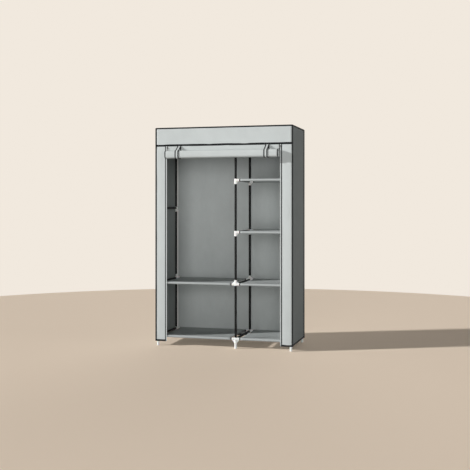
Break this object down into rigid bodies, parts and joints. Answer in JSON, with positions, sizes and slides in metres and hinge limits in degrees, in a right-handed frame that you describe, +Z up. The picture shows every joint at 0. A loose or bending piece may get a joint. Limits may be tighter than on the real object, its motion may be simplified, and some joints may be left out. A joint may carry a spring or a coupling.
{
  "type": "portable fabric wardrobe",
  "caption": "Free-standing cloth wardrobe on a plugged tube frame, with a hanging bay, a shelved bay, a sewn cover and a rolled-up zip door held by ties.",
  "frame": {"origin": "on the floor, under the middle of the whole wardrobe's box, its forward door roll included", "axes": "+X to the right as seen from the front, +Y from the front to the back, +Z up"},
  "size_m": [1.039, 0.5002, 1.625],
  "materials": {
    "steel_tube": "satin",
    "connector_plastic": "satin",
    "front_cloth": "matte",
    "side_cloth": "matte",
    "back_cloth": "matte",
    "shelf_cloth": "matte",
    "zip_metal": "satin"
  },
  "bodies": {
    "root": {"upright_front_left": "steel_tube", "upright_front_centre": "steel_tube", "upright_front_right": "steel_tube", "upright_rear_left": "steel_tube", "upright_rear_centre": "steel_tube", "upright_rear_right": "steel_tube", "foot_front_left": "connector_plastic", "foot_front_centre": "connector_plastic", "foot_front_right": "connector_plastic", "foot_rear_left": "connector_plastic", "foot_rear_centre": "connector_plastic", "foot_rear_right": "connector_plastic", "connector_lower_front_left": "connector_plastic", "connector_lower_front_centre": "connector_plastic", "connector_lower_front_right": "connector_plastic", "connector_lower_rear_left": "connector_plastic", "connector_lower_rear_centre": "connector_plastic", "connector_lower_rear_right": "connector_plastic", "connector_mid_front_centre": "connector_plastic", "connector_mid_front_right": "connector_plastic", "connector_mid_rear_centre": "connector_plastic", "connector_mid_rear_right": "connector_plastic", "connector_upper_front_centre": "connector_plastic", "connector_upper_front_right": "connector_plastic", "connector_upper_rear_centre": "connector_plastic", "connector_upper_rear_right": "connector_plastic", "depth_tube_bottom_left": "steel_tube", "depth_tube_bottom_centre": "steel_tube", "depth_tube_bottom_right": "steel_tube", "depth_tube_lower_left": "steel_tube", "depth_tube_lower_centre": "steel_tube", "depth_tube_lower_right": "steel_tube", "depth_tube_mid_centre": "steel_tube", "depth_tube_mid_right": "steel_tube", "depth_tube_upper_centre": "steel_tube", "depth_tube_upper_right": "steel_tube", "depth_tube_top_left": "steel_tube", "depth_tube_top_centre": "steel_tube", "depth_tube_top_right": "steel_tube", "side_brace_left": "steel_tube", "top_rail_front": "steel_tube", "top_rail_rear": "steel_tube", "hanging_rail": "steel_tube", "shelf_left_bottom": "shelf_cloth", "shelf_left_lower": "shelf_cloth", "shelf_right_bottom": "shelf_cloth", "shelf_right_lower": "shelf_cloth", "shelf_right_mid": "shelf_cloth", "shelf_right_upper": "shelf_cloth", "cover_side_left": "side_cloth", "cover_side_right": "side_cloth", "cover_back": "back_cloth", "cover_top": "side_cloth", "cover_header": "front_cloth", "door_drop": "front_cloth", "door_tie_left": "front_cloth", "door_tie_right": "front_cloth"},
    "door": {"door_roll": "front_cloth"},
    "zip_left": {"zip_slider_left": "zip_metal"},
    "zip_right": {"zip_slider_right": "zip_metal"}
  },
  "joints": [
    {"name": "door_unroll", "type": "slide", "parent": "root", "child": "door", "axis": [0, 0, 1], "range_m": [-1.36, 0], "deforming": ["door_drop", "door_tie_left", "door_tie_right"]},
    {"name": "zip_left_slide", "type": "slide", "parent": "root", "child": "zip_left", "axis": [0, 0, 1], "range_m": [-1.36, 0]},
    {"name": "zip_right_slide", "type": "slide", "parent": "root", "child": "zip_right", "axis": [0, 0, 1], "range_m": [-1.36, 0]}
  ],
  "couplings": [
    {"joint": "zip_left_slide", "follows": "door_unroll", "ratio": 1},
    {"joint": "zip_right_slide", "follows": "door_unroll", "ratio": 1}
  ]
}
